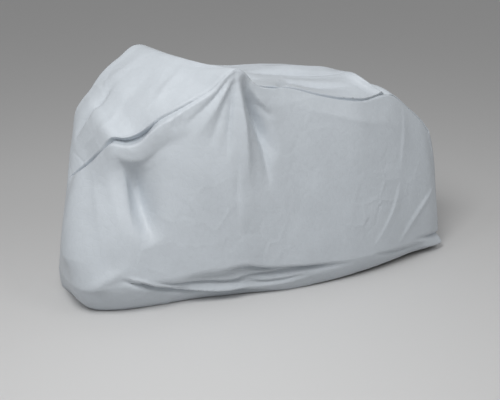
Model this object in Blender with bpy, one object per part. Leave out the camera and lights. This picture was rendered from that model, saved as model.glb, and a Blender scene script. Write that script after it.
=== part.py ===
"""Fitted cover for a parked bicycle, as it hangs over the handlebar and the saddle.

The maker sews three pieces of coated cloth and one piece of tape:
  near_side_panel   the near side, which also wraps round the front, hemmed along the ground
  far_side_panel    the far side, hemmed along the ground
  top_gusset        one strip from the front hem, over the top, to the rear hem
  hook_tape         a strip of hook tape on the inner face of the near hem

The tables are in metres from the ground at the cover's front end: X runs to the rear, Y from
the near side to the far side, and Z up. The part's origin is SADDLE_POINT, where the saddle
carries the gusset, so all points are shifted by it at the end.
"""

import math

import bmesh
import bpy
import numpy as np

CLOTH = 0.0020            # coated cloth with its seam allowance
HEM_CLOTH = 0.0034        # the same cloth, turned up and stitched
HEM_RISE = 0.027          # height of the hem, as a share of the panel's height
SEAM_GAP = 0.0004         # between two pieces along their seam
TAPE_GAP = 0.0004         # between the tape and the hem
TAPE = 0.0018             # thickness of the hook tape
TAPE_LENGTH = 0.100
TAPE_RISE = (0.10, 0.92)  # the tape's lower and upper edge, as shares of the hem's height
TAPE_RUN = 1.06           # where the tape starts along the near hem
MITRE_LIMIT = 0.72        # keeps the seam's mitre short where the cloth turns sharply
PANEL_HEIGHT = 0.85       # turns a rise, 0 to 1, into metres on the cloth
GUSSET_WIDTH = 0.30       # turns a share across the gusset into metres on the cloth
TUCK_BEND = 1.5           # how sharply the cloth bends in above the hem
FOLD_STEP = 0.004         # between two points along a fold's line
FOLD_WIDTH = 0.024        # the narrowest a fold is made; narrower ones are wider and flatter
LIP_PLACE = 0.012         # the rolled seam's lip on the gusset, from the seam
LIP_SHARE = 0.25          # its height, as a share of how far the seam lies back
ROLL_REACH = 0.008        # how far from the seam the gusset is drawn in
SADDLE_POINT = (1.264, -0.021, 0.967)

RUN_END = 2.20            # length of the path along a side panel, from front edge to rear edge

# Columns of cloth between two runs along the side panels: first run, last run, columns.
COLUMNS = (
    (0.00, 0.50, 12),
    (0.50, 0.86, 13),
    (0.86, 1.02, 4),
    (1.02, 1.22, 15),
    (1.22, 1.70, 9),
    (1.70, 1.86, 4),
    (1.86, 2.20, 8),
)
# Rows of a side panel from its hem, 0, to its seam, 1; close together where cloth creases.
RISES = (0.0, HEM_RISE, 0.050, 0.075, 0.100, 0.130, 0.170, 0.220, 0.290, 0.370, 0.450, 0.530,
         0.610, 0.690, 0.760, 0.820, 0.865, 0.900, 0.930, 0.955, 0.973, 0.987, 1.0)
# Rows across the gusset, from the near seam, 0, to the far seam, 1.
ACROSS = (0.0, 0.035, 0.080, 0.150, 0.250, 0.360, 0.480, 0.600, 0.720, 0.840, 0.930, 1.0)

# The near panel at stations along its hem: the run to the station, the point on the hem, the
# point on the seam above it, and how far the cloth between them bellies out.
NEAR_STATIONS = (
    # run, hem x, y, z, seam x, y, z, belly
    (0.00, -0.020, 0.122, 0.000, 0.060, 0.095, 0.560, 0.015),
    (0.14, 0.030, -0.006, 0.000, 0.078, 0.080, 0.580, 0.045),
    (0.28, 0.092, -0.130, 0.000, 0.112, 0.055, 0.612, 0.085),
    (0.40, 0.195, -0.170, 0.000, 0.160, 0.020, 0.662, 0.080),
    (0.50, 0.285, -0.180, 0.000, 0.205, -0.040, 0.728, 0.070),
    (0.56, 0.340, -0.182, 0.000, 0.241, -0.080, 0.778, 0.055),
    (0.62, 0.395, -0.184, 0.000, 0.290, -0.110, 0.779, 0.040),
    (0.70, 0.465, -0.186, 0.000, 0.355, -0.135, 0.803, 0.030),
    (0.77, 0.530, -0.187, 0.000, 0.424, -0.170, 0.870, 0.022),
    (0.85, 0.600, -0.190, 0.000, 0.510, -0.210, 0.925, 0.012),
    (0.95, 0.690, -0.205, 0.000, 0.620, -0.250, 0.997, 0.006),
    (1.06, 0.785, -0.222, 0.000, 0.739, -0.282, 1.092, 0.000),
    (1.14, 0.860, -0.232, 0.000, 0.826, -0.250, 1.017, 0.004),
    (1.30, 1.010, -0.246, 0.000, 0.998, -0.200, 0.973, 0.010),
    (1.46, 1.160, -0.245, 0.005, 1.149, -0.180, 0.919, 0.014),
    (1.68, 1.380, -0.225, 0.015, 1.368, -0.160, 0.870, 0.018),
    (1.88, 1.580, -0.190, 0.026, 1.555, -0.098, 0.861, 0.028),
    (2.00, 1.705, -0.155, 0.030, 1.660, -0.080, 0.784, 0.030),
    (2.12, 1.825, -0.112, 0.022, 1.752, -0.070, 0.700, 0.026),
    (2.20, 1.895, -0.080, 0.018, 1.800, -0.062, 0.640, 0.012),
)
FAR_STATIONS = (
    # run, hem x, y, z, seam x, y, z, belly
    (0.00, 0.035, 0.255, 0.000, 0.095, 0.225, 0.600, 0.020),
    (0.20, 0.130, 0.245, 0.000, 0.112, 0.235, 0.735, 0.020),
    (0.40, 0.190, 0.238, 0.000, 0.135, 0.245, 0.835, 0.020),
    (0.62, 0.260, 0.230, 0.000, 0.206, 0.252, 0.922, 0.015),
    (0.74, 0.305, 0.227, 0.000, 0.262, 0.260, 0.988, 0.012),
    (0.85, 0.360, 0.224, 0.000, 0.335, 0.268, 1.042, 0.010),
    (1.06, 0.510, 0.220, 0.000, 0.478, 0.285, 1.090, 0.000),
    (1.14, 0.600, 0.220, 0.000, 0.560, 0.262, 1.045, 0.005),
    (1.30, 0.800, 0.225, 0.000, 0.760, 0.200, 0.998, 0.010),
    (1.46, 1.020, 0.225, 0.005, 1.000, 0.165, 0.994, 0.015),
    (1.68, 1.320, 0.215, 0.015, 1.330, 0.140, 0.944, 0.020),
    (1.88, 1.570, 0.190, 0.030, 1.545, 0.115, 0.835, 0.020),
    (2.00, 1.700, 0.175, 0.032, 1.660, 0.105, 0.765, 0.020),
    (2.20, 1.860, 0.120, 0.024, 1.795, 0.080, 0.640, 0.010),
)
# How far the gusset's middle stands out of the straight line between its seams. A place on
# the gusset is 0 to 1 up its front end, 1 to 2 over the top, and 2 to 3 down its rear end.
GUSSET_CROWN = (
    # place, crown, skew
    (0.00, 0.010, 0.000),
    (0.60, 0.012, 0.000),
    (1.00, 0.012, 0.000),
    (1.12, 0.018, 0.000),
    (1.25, 0.022, 0.000),
    (1.38, 0.010, 0.000),
    (1.48, -0.014, 0.000),
    (1.55, -0.004, 0.000),
    (1.62, 0.006, 0.000),
    (1.68, 0.018, 0.020),
    (1.74, 0.026, 0.100),
    (1.790, 0.036, 0.130),
    (1.810, 0.030, 0.130),
    (1.840, 0.010, 0.110),
    (1.88, 0.000, 0.080),
    (1.94, 0.008, 0.000),
    (2.00, 0.022, 0.000),
    (3.00, 0.020, 0.000),
)

# How far the bottom of a panel is drawn in under it, and the rise at which that begins.
NEAR_TUCK = (
    # run, depth, rise
    (0.00, 0.014, 0.20),
    (0.14, 0.034, 0.23),
    (0.30, 0.062, 0.25),
    (0.50, 0.074, 0.24),
    (0.75, 0.082, 0.22),
    (1.00, 0.082, 0.20),
    (1.50, 0.062, 0.15),
    (2.00, 0.032, 0.11),
    (2.20, 0.018, 0.11),
)
FAR_TUCK = (
    # run, depth, rise
    (0.00, 0.010, 0.14),
    (0.50, 0.034, 0.16),
    (1.20, 0.044, 0.15),
    (2.00, 0.026, 0.11),
    (2.20, 0.014, 0.11),
)

# Folds of a panel. Each runs through three points, each a run and a rise, and stands out by
# its height, or sinks in where that is negative, over its width at the first and at the last
# point. Its left side is wider where lean is positive, and its crest is round at 2, sharp at 1.
NEAR_FOLDS = (
    # run a, rise a, run b, rise b, run c, rise c, height, width a, width c, lean, crest
    # the trough below the nose, and the hollow in front of it
    (0.612, 0.910, 0.610, 0.700, 0.648, 0.380, -0.084, 0.085, 0.046, 0.05, 1.35),
    (0.540, 0.900, 0.545, 0.740, 0.580, 0.480, -0.014, 0.050, 0.050, 0.0, 2.0),
    (0.410, 0.860, 0.400, 0.700, 0.420, 0.400, 0.010, 0.050, 0.070, 0.0, 2.0),
    # the slack that hangs below the ledge
    (0.620, 0.880, 0.740, 0.880, 0.90, 0.860, -0.005, 0.020, 0.026, 0.0, 1.8),
    (0.835, 0.985, 0.822, 0.950, 0.84, 0.910, -0.006, 0.009, 0.010, 0.0, 1.6),
    (0.858, 0.985, 0.848, 0.950, 0.86, 0.920, -0.004, 0.008, 0.009, 0.0, 1.6),
    # folds that fan out from the near grip, from the nose round to the rear
    (1.050, 0.985, 0.955, 0.955, 0.84, 0.915, -0.009, 0.010, 0.020, 0.3, 1.7),
    (1.048, 0.975, 0.975, 0.915, 0.87, 0.830, 0.007, 0.010, 0.022, 0.0, 1.7),
    (1.050, 0.965, 0.990, 0.880, 0.93, 0.760, -0.010, 0.010, 0.026, 0.3, 1.7),
    (1.056, 1.000, 1.022, 0.840, 1.00, 0.660, -0.018, 0.012, 0.020, -0.3, 1.5),
    (1.060, 0.980, 1.076, 0.760, 1.085, 0.540, 0.020, 0.014, 0.028, 0.0, 1.5),
    (1.050, 0.700, 1.035, 0.500, 1.03, 0.280, -0.006, 0.014, 0.018, -0.4, 1.6),
    (1.084, 0.990, 1.142, 0.876, 1.218, 0.680, -0.048, 0.029, 0.030, -0.35, 1.5),
    (1.120, 0.960, 1.168, 0.770, 1.182, 0.540, -0.026, 0.016, 0.020, -0.3, 1.5),
    (1.110, 0.985, 1.154, 0.932, 1.204, 0.892, 0.010, 0.011, 0.012, 0.3, 1.6),
    (1.125, 0.950, 1.165, 0.905, 1.22, 0.860, -0.009, 0.010, 0.012, 0.0, 1.6),
    # the shoulder below the rear seam and its soft light line
    (1.12, 0.905, 1.50, 0.900, 2.06, 0.820, 0.020, 0.150, 0.130, -0.55, 2.0),
    (1.36, 0.915, 1.60, 0.902, 1.84, 0.825, 0.003, 0.014, 0.014, 0.0, 1.8),
    (1.775, 0.895, 1.82, 0.850, 1.87, 0.790, 0.004, 0.011, 0.011, 0.0, 1.8),
    # the bend round the rear wheel
    (1.958, 1.000, 1.922, 0.780, 1.885, 0.560, 0.004, 0.016, 0.020, 0.7, 1.8),
    (1.89, 0.560, 1.830, 0.340, 1.70, 0.150, 0.005, 0.018, 0.020, 0.6, 1.7),
    (2.18, 0.560, 2.01, 0.335, 1.86, 0.100, 0.008, 0.014, 0.016, 0.5, 1.6),
    # the lower corner at the front
    (0.520, 0.350, 0.390, 0.300, 0.290, 0.200, 0.014, 0.036, 0.030, 0.0, 1.8),
    (0.240, 0.460, 0.230, 0.300, 0.270, 0.100, -0.020, 0.060, 0.060, 0.0, 2.0),
    (0.360, 0.240, 0.350, 0.160, 0.360, 0.060, -0.010, 0.026, 0.030, 0.0, 1.8),
    # the hem: a lip, its shadow, and the folds above it
    (0.450, 0.320, 0.581, 0.215, 0.74, 0.130, 0.015, 0.011, 0.010, -0.2, 1.5),
    (0.600, 0.165, 0.860, 0.094, 1.36, 0.056, 0.024, 0.011, 0.011, -0.2, 1.5),
    (0.440, 0.300, 0.590, 0.186, 0.84, 0.070, -0.034, 0.011, 0.010, 0.3, 1.4),
    (0.640, 0.130, 0.920, 0.052, 1.26, 0.030, -0.030, 0.011, 0.010, 0.0, 1.4),
    (0.600, 0.215, 0.850, 0.120, 1.16, 0.082, -0.032, 0.009, 0.009, -0.2, 1.4),
    (0.760, 0.178, 0.960, 0.140, 1.24, 0.112, -0.014, 0.020, 0.016, 0.0, 1.7),
    (0.840, 0.170, 1.120, 0.148, 1.60, 0.108, -0.036, 0.014, 0.014, -0.15, 1.5),
    (0.860, 0.108, 1.140, 0.106, 1.54, 0.114, -0.030, 0.009, 0.011, -0.1, 1.4),
    (0.960, 0.078, 1.150, 0.072, 1.50, 0.076, -0.026, 0.008, 0.010, 0.0, 1.5),
    (1.72, 0.125, 1.88, 0.070, 2.08, 0.070, -0.014, 0.011, 0.012, 0.0, 1.6),
    (1.98, 0.125, 2.18, 0.105, 2.38, 0.115, -0.024, 0.014, 0.014, 0.0, 1.6),
    (2.02, 0.050, 2.20, 0.045, 2.38, 0.050, 0.030, 0.026, 0.026, 0.0, 1.6),
)
FAR_FOLDS = (
    # run a, rise a, run b, rise b, run c, rise c, height, width a, width c, lean, crest
    # folds that fan out from the far grip
    (1.072, 0.975, 1.13, 0.860, 1.17, 0.620, -0.028, 0.010, 0.028, 0.25, 1.3),
    (1.050, 0.970, 1.00, 0.860, 0.92, 0.700, -0.014, 0.010, 0.028, 0.0, 1.4),
    (1.052, 0.975, 0.97, 0.925, 0.85, 0.850, 0.008, 0.008, 0.024, 0.0, 1.4),
    (1.065, 0.960, 1.07, 0.760, 1.06, 0.480, 0.012, 0.012, 0.030, 0.0, 1.4),
    (1.060, 0.950, 1.03, 0.700, 1.00, 0.380, -0.010, 0.014, 0.028, 0.0, 1.4),
    (1.110, 0.980, 1.24, 0.890, 1.42, 0.740, -0.010, 0.012, 0.028, 0.0, 1.4),
    (1.100, 0.985, 1.18, 0.930, 1.28, 0.860, 0.012, 0.010, 0.016, 0.0, 1.3),
    # the hollow behind the front wheel and the slack beside it
    (0.60, 0.900, 0.66, 0.700, 0.74, 0.360, -0.028, 0.034, 0.050, 0.3, 1.7),
    (0.84, 0.860, 0.86, 0.600, 0.90, 0.300, 0.010, 0.040, 0.060, 0.0, 2.0),
    (0.40, 0.965, 0.58, 0.950, 0.86, 0.935, 0.009, 0.016, 0.020, 0.0, 1.5),
    (0.28, 0.900, 0.42, 0.740, 0.50, 0.520, -0.010, 0.020, 0.034, 0.0, 1.5),
    # the rear corner of the saddle and the bend round the rear wheel
    (1.36, 0.945, 1.60, 0.910, 1.88, 0.800, 0.008, 0.014, 0.018, 0.0, 1.4),
    (1.84, 0.990, 1.93, 0.760, 1.86, 0.460, 0.014, 0.022, 0.030, 0.4, 1.3),
    (1.88, 0.520, 1.80, 0.340, 1.68, 0.150, 0.010, 0.026, 0.026, 0.4, 1.3),
    (1.98, 0.860, 2.03, 0.600, 2.00, 0.320, -0.012, 0.036, 0.044, 0.0, 1.8),
    (1.44, 0.520, 1.50, 0.320, 1.64, 0.120, 0.008, 0.022, 0.030, 0.0, 1.4),
    # the hem
    (0.62, 0.150, 1.00, 0.060, 1.40, 0.040, 0.016, 0.016, 0.018, 0.0, 1.4),
    (0.84, 0.130, 1.15, 0.105, 1.50, 0.095, -0.014, 0.012, 0.014, 0.0, 1.3),
    (1.70, 0.120, 1.90, 0.070, 2.08, 0.060, -0.012, 0.012, 0.014, 0.0, 1.3),
    (0.24, 0.210, 0.38, 0.120, 0.60, 0.060, -0.012, 0.012, 0.016, 0.0, 1.3),
)
# Folds of the gusset, through places along it and shares across it.
GUSSET_FOLDS = (
    # place a, share a, place b, share b, place c, share c, height, width a, width c, lean, crest
    # light streak and slack over the nose, and the fold along its far edge
    (1.46, 0.440, 1.405, 0.320, 1.345, 0.150, 0.007, 0.012, 0.016, 0.3, 1.6),
    (1.43, 0.600, 1.36, 0.480, 1.27, 0.300, -0.006, 0.024, 0.030, 0.0, 1.8),
    (1.45, 0.860, 1.385, 0.800, 1.32, 0.820, 0.008, 0.016, 0.018, 0.0, 1.7),
    (1.36, 0.740, 1.26, 0.640, 1.14, 0.500, -0.020, 0.018, 0.018, -0.5, 1.4),
    (1.29, 0.200, 1.21, 0.250, 1.13, 0.300, 0.004, 0.014, 0.016, 0.0, 1.7),
    (1.35, 0.520, 1.28, 0.330, 1.23, 0.160, 0.004, 0.012, 0.016, 0.0, 1.7),
    # the grip's pull across the gusset
    (1.478, 0.060, 1.465, 0.300, 1.45, 0.560, -0.008, 0.012, 0.024, 0.0, 1.7),
    (1.490, 0.080, 1.510, 0.300, 1.53, 0.560, -0.007, 0.012, 0.020, 0.0, 1.7),
    # the slack between the grip and the saddle, and its pucker
    (1.48, 0.420, 1.55, 0.420, 1.64, 0.420, -0.022, 0.070, 0.060, -0.3, 1.8),
    (1.660, 0.460, 1.614, 0.220, 1.55, -0.060, -0.020, 0.014, 0.014, 0.3, 1.5),
    # the saddle's plateau, its creases, its rear edge and the hollow behind that edge
    (1.600, 0.640, 1.700, 0.676, 1.778, 0.640, -0.034, 0.046, 0.036, -0.75, 1.3),
    (1.640, 0.820, 1.725, 0.830, 1.790, 0.820, 0.010, 0.016, 0.016, 0.0, 1.8),
    (1.630, 0.400, 1.700, 0.355, 1.770, 0.350, -0.022, 0.034, 0.034, -0.70, 1.3),
    (1.766, 0.860, 1.785, 0.380, 1.844, -0.160, 0.024, 0.013, 0.011, 0.0, 1.5),
    (1.786, 0.860, 1.806, 0.380, 1.864, -0.160, -0.040, 0.014, 0.012, 0.0, 1.5),
)

# The rolled seam between a panel and the gusset: how far the seam lies behind the cloth, how
# far down that hollow reaches, and how far out and how far down the ledge below it is.
NEAR_SEAM = (
    # run, recess, hollow, ledge, ledge drop
    (0.00, 0.003, 0.0045, 0.000, 0.020),
    (0.20, 0.008, 0.0045, 0.004, 0.020),
    (0.27, 0.013, 0.0050, 0.012, 0.022),
    (0.40, 0.014, 0.0055, 0.014, 0.022),
    (0.52, 0.010, 0.0045, 0.014, 0.022),
    (0.56, 0.026, 0.009, 0.020, 0.020),
    (0.60, 0.034, 0.012, 0.026, 0.022),
    (0.66, 0.036, 0.013, 0.034, 0.023),
    (0.71, 0.030, 0.011, 0.036, 0.022),
    (0.745, 0.014, 0.006, 0.032, 0.019),
    (0.80, 0.009, 0.0045, 0.022, 0.018),
    (0.88, 0.009, 0.0045, 0.008, 0.014),
    (0.95, 0.007, 0.0045, 0.006, 0.014),
    (1.02, 0.003, 0.0045, 0.000, 0.020),
    (1.09, 0.003, 0.0045, 0.000, 0.020),
    (1.13, 0.008, 0.0040, 0.001, 0.014),
    (1.88, 0.008, 0.0040, 0.001, 0.014),
    (2.20, 0.005, 0.0045, 0.001, 0.016),
)
FAR_SEAM = (
    # run, recess, hollow, ledge, ledge drop
    (0.00, 0.003, 0.004, 0.001, 0.020),
    (0.40, 0.005, 0.006, 0.003, 0.026),
    (0.80, 0.005, 0.006, 0.003, 0.026),
    (1.04, 0.002, 0.004, 0.000, 0.024),
    (1.18, 0.004, 0.004, 0.001, 0.020),
    (2.20, 0.003, 0.004, 0.001, 0.020),
)

CLOTH_COLOUR = (0.44, 0.47, 0.51, 1.0)
TAPE_COLOUR = (0.015, 0.016, 0.018, 1.0)


def smooth_rows(rows, at):
    """Read a table between its rows, on a smooth curve through them (first column: position)."""
    rows = np.array(rows)
    knots = rows[:, 0]
    values = rows[:, 1:]
    spans = np.diff(knots)[:, None]
    slopes = np.diff(values, axis=0) / spans
    tangents = np.empty_like(values)
    tangents[0] = slopes[0]
    tangents[-1] = slopes[-1]
    weights = spans[:-1] + spans[1:]
    tangents[1:-1] = (slopes[:-1] * spans[1:] + slopes[1:] * spans[:-1]) / weights
    at = np.asarray(at, dtype=float)
    row = np.clip(np.searchsorted(knots, at, side="right") - 1, 0, len(knots) - 2)
    span = spans[row]
    t = (at - knots[row])[:, None] / span
    start = (1 + 2 * t) * (1 - t) ** 2 * values[row]
    end = t ** 2 * (3 - 2 * t) * values[row + 1]
    lean_out = t * (1 - t) ** 2 * span * tangents[row]
    lean_in = t ** 2 * (t - 1) * span * tangents[row + 1]
    return start + end + lean_out + lean_in


def unit(vectors):
    lengths = np.linalg.norm(vectors, axis=-1, keepdims=True)
    return vectors / np.maximum(lengths, 1e-9)


def column_runs():
    """The run of each column of a side panel."""
    pieces = [np.linspace(first, last, count, endpoint=False) for first, last, count in COLUMNS]
    return np.append(np.concatenate(pieces), RUN_END)


def side_panel(stations, tuck, runs, rises, side):
    """Points of a side panel without its folds, [rise][run]; side is 1 near and -1 far."""
    read = smooth_rows(stations, runs)
    hem = read[:, 0:3]
    seam = read[:, 3:6]
    belly = read[:, 6]
    along = np.gradient(hem, runs, axis=0)
    outward = unit(np.stack([along[:, 1], -along[:, 0], np.zeros_like(runs)], axis=-1)) * side
    rise = np.asarray(rises)[:, None]
    depth, start = smooth_rows(tuck, runs).T
    below = np.clip(rise / start, 0, 1)
    hang = np.where(rise > start, (1 - rise) / (1 - start), 1 - (1 - below) ** TUCK_BEND)
    swell = 4 * rise * (1 - rise) * belly + hang * depth
    rise = rise[..., None]
    return hem * (1 - rise) + seam * rise + swell[..., None] * outward


def surface_normals(grid, side):
    """Unit normals of a grid of points; side is 1 where columns cross rows points outward."""
    down_rows = np.gradient(grid, axis=0)
    along_columns = np.gradient(grid, axis=1)
    return unit(np.cross(along_columns, down_rows)) * side


def fold_relief(folds, first, second, first_scale, second_scale):
    """How far the folds lift each point of the cloth."""
    x = first * first_scale
    y = second * second_scale
    relief = np.zeros(x.shape)
    for a1, a2, b1, b2, c1, c2, height, first_width, last_width, lean, crest in folds:
        length = math.hypot((c1 - a1) * first_scale, (c2 - a2) * second_scale)
        t = np.linspace(0.0, 1.0, int(length / FOLD_STEP) + 9)
        start = (1 - t) * (1 - 2 * t)
        middle = 4 * t * (1 - t)
        end = t * (2 * t - 1)
        fade = np.sin(np.pi * t).clip(0, 1) ** 1.2
        line_x = (start * a1 + middle * b1 + end * c1) * first_scale
        line_y = (start * a2 + middle * b2 + end * c2) * second_scale
        widths = first_width + (last_width - first_width) * t
        span_x = np.gradient(line_x)
        span_y = np.gradient(line_y)
        across_x = x[..., None] - line_x
        across_y = y[..., None] - line_y
        nearest = np.argmin(np.hypot(across_x, across_y), axis=-1)[..., None]
        across_x = np.take_along_axis(across_x, nearest, -1)[..., 0]
        across_y = np.take_along_axis(across_y, nearest, -1)[..., 0]
        nearest = nearest[..., 0]
        turn = span_x[nearest] * across_y - span_y[nearest] * across_x
        width = np.maximum(widths[nearest], FOLD_WIDTH)
        lift = height * fade[nearest] * widths[nearest] / width
        away = np.hypot(across_x, across_y) / (width * np.where(turn > 0, 1 + lean, 1 - lean))
        relief += lift * np.exp(-away ** crest)
    return relief


def seam_roll(seam, runs, below):
    """How far the rolled seam lifts a panel, at each distance below it."""
    recess, hollow, ledge, drop = smooth_rows(seam, runs).T
    inside = -recess / (1 + (below / hollow) ** 5)
    upper = np.maximum((drop - hollow) * 0.55, 0.004)
    spread = np.where(below < drop, upper, 0.045)
    return inside + ledge * np.exp(-((below - drop) / spread) ** 2)


def folded_panel(stations, tuck, folds, runs, rises, side):
    """Outer face of a side panel with its folds."""
    flat = side_panel(stations, tuck, runs, rises, side)
    run_grid, rise_grid = np.meshgrid(runs, rises)
    relief = fold_relief(folds, run_grid, rise_grid, 1.0, PANEL_HEIGHT)
    relief[-1] = 0
    return flat + relief[..., None] * surface_normals(flat, side)


def rolled_panel(folded, seam, runs, rises, side):
    """The folded panel with its rolled seam, and how far its edge moved."""
    below = (1 - np.asarray(rises))[:, None] * PANEL_HEIGHT
    rolled = folded + seam_roll(seam, runs, below)[..., None] * surface_normals(folded, side)
    return rolled, seam_edge(rolled) - seam_edge(folded)


def seam_edge(grid):
    """The edge of a side panel that is sewn to the gusset: up its front, along its top, down."""
    return np.concatenate([grid[:, 0], grid[-1, 1:], grid[-2::-1, -1]])


def gusset_places(runs, rises):
    """The place of each row of the gusset, matched to the points of seam_edge."""
    rises = np.asarray(rises)
    return np.concatenate([rises, 1 + runs[1:] / RUN_END, 3 - rises[-2::-1]])


def folded_gusset(near_edge, far_edge, places, across):
    """Outer face of the gusset between its two seams with its folds, [place][share across]."""
    skew = smooth_rows(GUSSET_CROWN, places)[:, 1]
    askew = places[:, None] + skew[:, None] * (np.asarray(across) - 0.5)
    crown = smooth_rows(GUSSET_CROWN, askew.ravel())[:, 0].reshape(askew.shape)
    along = np.gradient((near_edge + far_edge) / 2, axis=0)
    outward = unit(np.cross(along, far_edge - near_edge))
    share = np.asarray(across)[None, :, None]
    swell = 4 * share * (1 - share)
    flat = near_edge[:, None] * (1 - share) + far_edge[:, None] * share
    flat = flat + swell * crown[..., None] * outward[:, None]
    share_grid, place_grid = np.meshgrid(across, places)
    relief = fold_relief(GUSSET_FOLDS, place_grid, share_grid, RUN_END, GUSSET_WIDTH)
    relief[:, [0, -1]] = 0
    return flat + relief[..., None] * surface_normals(flat, -1)


def rolled_gusset(folded, near_shift, far_shift, across):
    """The folded gusset with its edges drawn in along the rolled seams."""
    from_near = np.asarray(across)[None, :] * GUSSET_WIDTH
    from_far = GUSSET_WIDTH - from_near
    normals = surface_normals(folded, -1)
    rolled = folded.copy()
    for shift, away in ((near_shift, from_near), (far_shift, from_far)):
        depth = np.linalg.norm(shift, axis=-1)[:, None]
        lip = LIP_SHARE * depth * np.exp(-((away - LIP_PLACE) / ROLL_REACH) ** 2)
        lip = np.where(away > 0, lip, 0)
        back = np.exp(-(away / ROLL_REACH) ** 2)
        rolled += shift[:, None] * back[..., None] + lip[..., None] * normals
    return rolled


def seam_lean(panel_normals, gusset_normals):
    """Direction and stretch of the mitre at a seam, from the normals of both pieces."""
    lean = unit(panel_normals + gusset_normals)
    facing = np.sum(lean * panel_normals, axis=-1, keepdims=True)
    return lean / np.maximum(facing, MITRE_LIMIT)


def triangles(grid, side):
    """Triangles of a grid, facing outward, each cell cut along its shorter diagonal."""
    rows, columns = grid.shape[:2]
    faces = []
    for row in range(rows - 1):
        for column in range(columns - 1):
            a = (row, column)
            b = (row, column + 1)
            c = (row + 1, column + 1)
            d = (row + 1, column)
            if np.linalg.norm(grid[a] - grid[c]) < np.linalg.norm(grid[b] - grid[d]):
                pair = [(a, b, c), (a, c, d)]
            else:
                pair = [(a, b, d), (b, c, d)]
            faces += [corners if side > 0 else corners[::-1] for corners in pair]
    return faces


def rim(rows, columns):
    """The cells round the edge of a grid, in order."""
    bottom = [(0, column) for column in range(columns)]
    right = [(row, columns - 1) for row in range(1, rows)]
    top = [(rows - 1, column) for column in range(columns - 2, -1, -1)]
    left = [(row, 0) for row in range(rows - 2, 0, -1)]
    return bottom + right + top + left


def material(name, colour, roughness):
    made = bpy.data.materials.new(name)
    made.use_nodes = True
    shader = made.node_tree.nodes["Principled BSDF"]
    shader.inputs["Base Color"].default_value = colour
    shader.inputs["Roughness"].default_value = roughness
    shader.inputs["Metallic"].default_value = 0.0
    return made


def make_sheet(name, outer, inner, side, finish):
    """One closed sheet between an outer and an inner grid of points."""
    rows, columns = outer.shape[:2]
    shape = bmesh.new()
    points = {}
    for layer, grid in enumerate((outer, inner)):
        for row in range(rows):
            for column in range(columns):
                place = grid[row, column] - np.array(SADDLE_POINT)
                points[layer, row, column] = shape.verts.new(place)
    for corners in triangles(outer, side):
        shape.faces.new([points[(0,) + corner] for corner in corners])
        shape.faces.new([points[(1,) + corner] for corner in reversed(corners)])
    edge = rim(rows, columns)
    for here, there in zip(edge, edge[1:] + edge[:1]):
        quad = [points[(0,) + there], points[(0,) + here], points[(1,) + here], points[(1,) + there]]
        shape.faces.new(quad if side > 0 else quad[::-1])
    bmesh.ops.triangulate(shape, faces=[face for face in shape.faces if len(face.verts) > 3])
    mesh = bpy.data.meshes.new(name)
    shape.to_mesh(mesh)
    shape.free()
    mesh.shade_smooth()
    mesh.set_sharp_from_angle(angle=np.radians(50))
    sheet = bpy.data.objects.new(name, mesh)
    sheet.data.materials.append(finish)
    bpy.context.scene.collection.objects.link(sheet)
    return sheet


def thickness_rows(rises):
    """Thickness of the cloth at each rise: doubled in the hem."""
    return np.where(np.asarray(rises) <= HEM_RISE, HEM_CLOTH, CLOTH)


def panel_layers(outer, side, lean):
    """Outer and inner face of a side panel, drawn back from the seam by half the gap."""
    drop = surface_normals(outer, side)
    rows, columns = outer.shape[:2]
    edge = [(row, 0) for row in range(rows)]
    edge += [(rows - 1, column) for column in range(1, columns)]
    edge += [(row, columns - 1) for row in range(rows - 2, -1, -1)]
    back = np.zeros_like(outer)
    for cell, direction in zip(edge, lean):
        drop[cell] = direction
        row, column = cell
        towards = (min(row, rows - 2), min(max(column, 1), columns - 2))
        back[cell] = unit(outer[towards] - outer[cell]) * SEAM_GAP / 2
    thick = thickness_rows(RISES)[:, None, None]
    return outer + back, outer + back - drop * thick


def gusset_layers(outer, near_lean, far_lean):
    """Outer and inner face of the gusset, drawn back from both seams by half the gap."""
    drop = surface_normals(outer, -1)
    drop[:, 0] = near_lean
    drop[:, -1] = far_lean
    back = np.zeros_like(outer)
    back[:, 0] = unit(outer[:, 1] - outer[:, 0]) * SEAM_GAP / 2
    back[:, -1] = unit(outer[:, -2] - outer[:, -1]) * SEAM_GAP / 2
    end = thickness_rows(RISES)
    top = np.full(len(outer) - 2 * len(end), CLOTH)
    thick = np.concatenate([end, top, end[::-1]])[:, None, None]
    return outer + back, outer + back - drop * thick


def tape_layers(panel_outer, panel_inner, runs):
    """Both faces of the hook tape, which lies flat on the inner face of the near hem."""
    inside = unit(panel_inner - panel_outer)
    tape_runs = [TAPE_RUN] + [run for run in runs if TAPE_RUN < run < TAPE_RUN + TAPE_LENGTH]
    tape_runs.append(TAPE_RUN + TAPE_LENGTH)

    def along_hem(grid, row):
        return np.stack([np.interp(tape_runs, runs, grid[row, :, axis]) for axis in range(3)], -1)

    against = []
    away = []
    for share in TAPE_RISE:
        face = along_hem(panel_inner, 0) * (1 - share) + along_hem(panel_inner, 1) * share
        lift = unit(along_hem(inside, 0) * (1 - share) + along_hem(inside, 1) * share)
        against.append(face + lift * TAPE_GAP)
        away.append(face + lift * (TAPE_GAP + TAPE))
    return np.array(against), np.array(away)


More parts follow.
